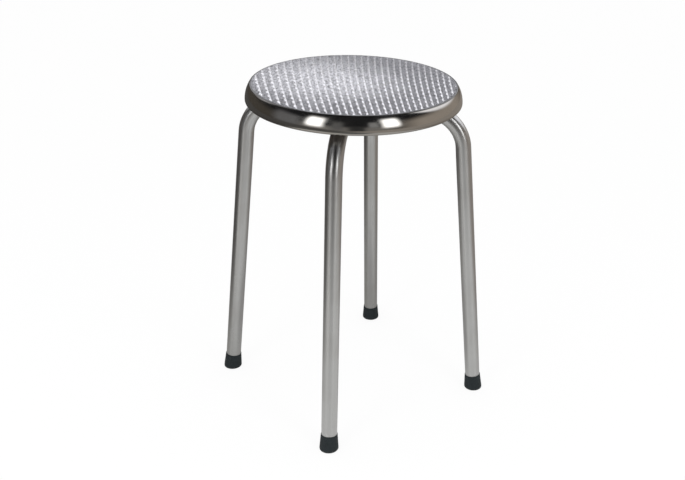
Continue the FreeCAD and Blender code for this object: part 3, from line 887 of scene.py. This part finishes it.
SCREW_RING = 90.0
SCREW_COUNT = 8
SCREW_FIRST = 22.5
HEAD_SEAT = 453.3
HEAD_RADIUS = 4.2
HEAD_EDGE = 0.7
HEAD_ROUND = 1.9
SHANK_RADIUS = 2.0
SCREW_LENGTH = 13.0
RECESS_DEPTH = 1.7
RECESS_ARM = (2.05, 0.42)
THREAD_START = 3.9
THREAD_PITCH = 1.4
THREAD_TURNS = 4
THREAD_STEPS = 12


def make_screw():
    """One pan head screw, upside down as it is driven from below, with a cross recess."""
    mesh = bmesh.new()
    core = SHANK_RADIUS * 0.82
    tip = [(0.0, SCREW_LENGTH), (SHANK_RADIUS * 0.3, SCREW_LENGTH - 0.8)]
    shank = [(core, SCREW_LENGTH - 3.0), (core, 0.0)]
    head = [(HEAD_RADIUS, 0.0), (HEAD_RADIUS, -HEAD_EDGE)]
    head += arc_points((HEAD_RADIUS - HEAD_ROUND, -HEAD_EDGE), HEAD_ROUND, 0, -78, 6)[1:]
    spin_round(mesh, tip + shank + head, 24)
    bmesh.ops.remove_doubles(mesh, verts=mesh.verts, dist=0.0005)
    open_ring = border_edges(mesh)
    low = min(vert.co.z for vert in mesh.verts)
    arm, half = RECESS_ARM
    corners = [(arm, -half), (arm, half), (half, half), (half, arm), (-half, arm), (-half, half),
               (-arm, half), (-arm, -half), (-half, -half), (-half, -arm), (half, -arm), (half, -half)]
    cross = [mesh.verts.new((x, y, low)) for x, y in corners]
    sides = [mesh.edges.new((cross[i], cross[(i + 1) % 12])) for i in range(12)]
    bmesh.ops.bridge_loops(mesh, edges=open_ring + sides)
    pit = bmesh.ops.contextual_create(mesh, geom=sides)["faces"][0]
    pushed = bmesh.ops.extrude_discrete_faces(mesh, faces=[pit])["faces"]
    bmesh.ops.scale(mesh, verts=pushed[0].verts, vec=(0.62, 0.62, 1))
    bmesh.ops.translate(mesh, verts=pushed[0].verts, vec=(0, 0, RECESS_DEPTH))
    root, low, high = SHANK_RADIUS * 0.8, THREAD_START, THREAD_START + 0.9
    ridge = [(root, low), (SHANK_RADIUS - 0.02, low + 0.45), (root, high)]
    bmesh.ops.spin(
        mesh, geom=chain(mesh, ridge), cent=(0, 0, 0), axis=(0, 0, 1),
        dvec=(0, 0, THREAD_PITCH / THREAD_STEPS), angle=2 * math.pi * THREAD_TURNS,
        steps=THREAD_STEPS * THREAD_TURNS,
        use_merge=False, use_normal_flip=False, use_duplicate=False,
    )
    close_up(mesh)
    return mesh


def make_screws(material):
    """Eight screws in a ring under the plate, each turned a little differently."""
    mesh = bmesh.new()
    for number in range(SCREW_COUNT):
        one = make_screw()
        angle = math.radians(SCREW_FIRST + 360 / SCREW_COUNT * number)
        own_turn = Matrix.Rotation(math.radians(37 * number), 3, "Z")
        bmesh.ops.rotate(one, verts=one.verts, cent=(0, 0, 0), matrix=own_turn)
        x, y = SCREW_RING * math.cos(angle), SCREW_RING * math.sin(angle)
        place = Vector((x, y, HEAD_SEAT))
        bmesh.ops.translate(one, verts=one.verts, vec=place)
        add_mesh(mesh, one)
    return finish_piece("pan_head_screws", mesh, material, ("plate_screws",), sharp=35)


def make_welds(side, angle, material):
    """Four ribbed beads that hold a leg's run to the plate, two on each side of the tube."""
    mesh = bmesh.new()
    gap = TUBE_RADIUS * 0.62
    for start, length in WELD_BEADS:
        for hand in (-1, 1):
            made = bmesh.ops.create_uvsphere(mesh, u_segments=10, v_segments=34, radius=1.0)
            verts = made["verts"]
            for vert in verts:
                share = vert.co.z
                ring = 1 + 0.1 * math.cos(share * length * 1.9)
                ring += 0.05 * math.sin(share * 13 + start + hand)
                end = 1 + 0.9 * (1 - share * share)
                x, y = vert.co.x * ring * end, vert.co.y * ring * end
                vert.co = (share * length / 2, x * 1.05, y * 0.95)
            lean = Matrix.Rotation(math.radians(-WELD_LEAN * hand), 3, "X")
            bmesh.ops.rotate(mesh, verts=verts, cent=(0, 0, 0), matrix=lean)
            height = RUN_HEIGHT + TUBE_RADIUS - 1.75
            move = Vector((start + length / 2, hand * (gap - 0.4), height))
            bmesh.ops.translate(mesh, verts=verts, vec=move)
    turn = Matrix.Rotation(math.radians(angle), 3, "Z")
    bmesh.ops.rotate(mesh, verts=mesh.verts, cent=(0, 0, 0), matrix=turn)
    bmesh.ops.recalc_face_normals(mesh, faces=mesh.faces)
    return finish_piece(f"weld_beads_{side}", mesh, material)


# ---- camera, light and studio ----


def make_camera():
    """The photograph's view: a little to the right of the front and from above. The lens is
    shifted, because the view's axis passes right of the frame's middle."""
    azimuth, elevation, roll = radians(4.173, 25.218, 2.792)
    focal, distance, centre_column, centre_row = 1041.57, 1.53472, 440.5, 240.5
    width, rows = 685.0, 480.0
    right = Vector((math.cos(azimuth), math.sin(azimuth), 0))
    level = math.cos(elevation)
    back = Vector((
        level * math.sin(azimuth), -level * math.cos(azimuth), math.sin(elevation),
    ))
    target = right * 0.128663 + Vector((0, 0, 0.241855))
    up = right.cross(-back)
    across = right * math.cos(roll) + up * math.sin(roll)
    upward = -right * math.sin(roll) + up * math.cos(roll)
    data = bpy.data.cameras.new("studio_camera")
    data.sensor_width = 36.0
    data.lens = focal / width * data.sensor_width
    data.shift_x = (width / 2 - centre_column) / width
    data.shift_y = (centre_row - rows / 2) / width
    camera = bpy.data.objects.new("studio_camera", data)
    turn = Matrix((across, upward, back)).transposed().to_4x4()
    camera.matrix_world = Matrix.Translation(target + back * distance) @ turn
    bpy.context.collection.objects.link(camera)
    bpy.context.scene.camera = camera


def softbox(name, place, aim):
    """A flat lamp that faces a place on the rim. Metal doesn't mirror it: it sees the bright
    patches of the surroundings instead, which are softer and weaker."""
    data = bpy.data.lights.new(name, "AREA")
    data.shape = "RECTANGLE"
    data.size, data.size_y = SOFTBOX_SIZE
    data.energy = SOFTBOX_RADIANCE * math.pi * data.size * data.size_y
    lamp = bpy.data.objects.new(name, data)
    lamp.location = place
    lamp.rotation_euler = (Vector(place) - Vector(aim)).to_track_quat("Z", "Y").to_euler()
    lamp.visible_glossy = False
    bpy.context.collection.objects.link(lamp)


def window(tree, azimuth, elevation, at, half):
    """1 inside a soft-edged patch of sky and 0 outside. Angles in degrees."""
    (middle_a, middle_e), (half_a, half_e) = radians(*at), radians(*half)
    away_a = maths(tree, "ABSOLUTE", maths(tree, "SUBTRACT", azimuth, middle_a))
    away_e = maths(tree, "ABSOLUTE", maths(tree, "SUBTRACT", elevation, middle_e))
    inside_a = ramp(tree, away_a, half_a * 1.4, half_a * 0.5)
    inside_e = ramp(tree, away_e, half_e * 1.5, half_e * 0.5)
    return maths(tree, "MULTIPLY", inside_a, inside_e)


def make_world():
    """Plain light for dull things, and for metal a white studio whose dark side lies behind the
    camera."""
    world = bpy.data.worlds.new("studio")
    bpy.context.scene.world = world
    world.use_nodes = True
    tree = world.node_tree
    tree.nodes.clear()
    direction = add(tree, "ShaderNodeTexCoord").outputs["Generated"]
    split = add(tree, "ShaderNodeSeparateXYZ", inputs={0: direction})
    azimuth = maths(tree, "ARCTAN2", split.outputs["X"], split.outputs["Y"])
    elevation = maths(tree, "ARCSINE", split.outputs["Z"])
    ahead = ramp(tree, maths(tree, "ABSOLUTE", azimuth), *radians(115, 145))
    low = ramp(tree, elevation, *radians(12, 2))
    base = maths(tree, "MULTIPLY", ahead, low)
    sky = blend_colour(tree, base, (0.008, 0.008, 0.009, 1), (0.20, 0.19, 0.18, 1))
    for at, half, colour in SKY_PATCHES:
        sky = blend_colour(tree, window(tree, azimuth, elevation, at, half), sky, colour)
    # The backdrop's lower edge rises to both sides.
    swing = maths(tree, "ABSOLUTE", maths(tree, "DIVIDE", azimuth, math.radians(75)))
    horizon = maths(tree, "MULTIPLY", maths(tree, "POWER", swing, 4.0), math.radians(11))
    backdrop = ramp(tree, maths(tree, "SUBTRACT", elevation, horizon), *radians(6, 14))
    sky = blend_colour(tree, backdrop, sky, (1.1, 1.1, 1.14, 1))
    ceiling = blend_colour(tree, ahead, (0.20, 0.20, 0.21, 1), (0.006, 0.006, 0.007, 1))
    sky = blend_colour(tree, ramp(tree, elevation, *radians(42, 56)), sky, ceiling)
    light_path = add(tree, "ShaderNodeLightPath").outputs
    plain = add(tree, "ShaderNodeBackground", inputs={"Color": WHITE, "Strength": 0.92})
    seen = add(tree, "ShaderNodeBackground", inputs={"Color": WHITE, "Strength": 1.0})
    metal = add(tree, "ShaderNodeBackground", inputs={"Color": sky, "Strength": 1.0})
    shine = maths(tree, "MAXIMUM", light_path["Is Glossy Ray"], light_path["Is Transmission Ray"])
    mixed = blend_shader(tree, shine, plain, metal)
    mixed = blend_shader(tree, light_path["Is Camera Ray"], mixed, seen)
    output = add(tree, "ShaderNodeOutputWorld")
    tree.links.new(mixed.outputs[0], output.inputs["Surface"])


def make_floor():
    """A white floor that is clear from below. Metal mirrors it in patches of its own shades."""
    mesh = bmesh.new()
    bmesh.ops.create_grid(mesh, x_segments=8, y_segments=8, size=FLOOR_HALF)
    bmesh.ops.scale(mesh, vec=(MM, MM, MM), verts=mesh.verts)
    data = bpy.data.meshes.new("studio_floor")
    mesh.to_mesh(data)
    mesh.free()
    floor = bpy.data.objects.new("studio_floor", data)
    bpy.context.collection.objects.link(floor)
    material = bpy.data.materials.new("white_sweep")
    material.use_nodes = True
    tree = material.node_tree
    tree.nodes.clear()
    place = object_place(tree)
    split = add(tree, "ShaderNodeSeparateXYZ", inputs={0: place})
    # Painted light and shadow for metal: the mirrored floor darkens to the left, and the patches paint
    # the stool's shadow and pools of light.
    rightward = ramp(tree, split.outputs["X"], -0.4, 0.7)
    shade = blend_colour(tree, rightward, (0.035, 0.031, 0.027, 1), (0.27, 0.24, 0.21, 1))
    for centre, inner, outer, colour in FLOOR_PATCHES:
        away = vector_maths(tree, "LENGTH", vector_maths(tree, "SUBTRACT", place, centre))
        shade = blend_colour(tree, ramp(tree, away, outer, inner), shade, colour)
    light_path = add(tree, "ShaderNodeLightPath").outputs
    lit = add(tree, "ShaderNodeBsdfDiffuse", inputs={"Color": (0.95, 0.95, 0.95, 1)})
    seen = add(tree, "ShaderNodeEmission", inputs={"Color": WHITE, "Strength": 1.0})
    metal = add(tree, "ShaderNodeEmission", inputs={"Color": shade, "Strength": 1.0})
    shine = maths(tree, "MAXIMUM", light_path["Is Glossy Ray"], light_path["Is Transmission Ray"])
    camera_share = maths(tree, "MULTIPLY", light_path["Is Camera Ray"], 0.9)
    shine_share = maths(tree, "MULTIPLY", shine, 0.95)
    mixed = blend_shader(tree, camera_share, lit, seen)
    mixed = blend_shader(tree, shine_share, mixed, metal)
    below = add(tree, "ShaderNodeNewGeometry").outputs["Backfacing"]
    mixed = blend_shader(tree, below, mixed, add(tree, "ShaderNodeBsdfTransparent"))
    output = add(tree, "ShaderNodeOutputMaterial")
    tree.links.new(mixed.outputs[0], output.inputs["Surface"])
    data.materials.append(material)


def dress(nodes, material):
    """Give carried-over CAD nodes their finish."""
    for name in nodes:
        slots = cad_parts[name].material_slots
        for slot in slots:
            slot.material = material
        if not slots:
            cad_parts[name].data.materials.append(material)


make_camera()
make_world()
make_floor()
softbox("softbox_left", (-0.81, -1.68, 0.99), (-0.03, -0.15, 0.46))
softbox("softbox_right", (1.35, -1.28, 0.99), (0.07, -0.13, 0.46))

seat_steel = make_seat_steel()
tube_steel = make_tube_steel()
rubber = make_foot_rubber()
plastic = make_plug_plastic()
zinc = make_fastener_steel()
plate = make_plate_paint()
weld = make_weld_steel()

make_seat(seat_steel)
for side, angle in SIDES.items():
    make_leg(side, angle, tube_steel)
    make_foot(side, angle, rubber)
    make_welds(side, angle, weld)
make_screws(zinc)
dress([f"plug_{side}" for side in SIDES], plastic)
dress([f"foot_washer_{side}" for side in SIDES] + ["screw_washers"], zinc)
dress(["mount_plate"], plate)
dress(["seat_board"], make_plywood())

view = bpy.context.scene.view_settings
view.view_transform = "Standard"
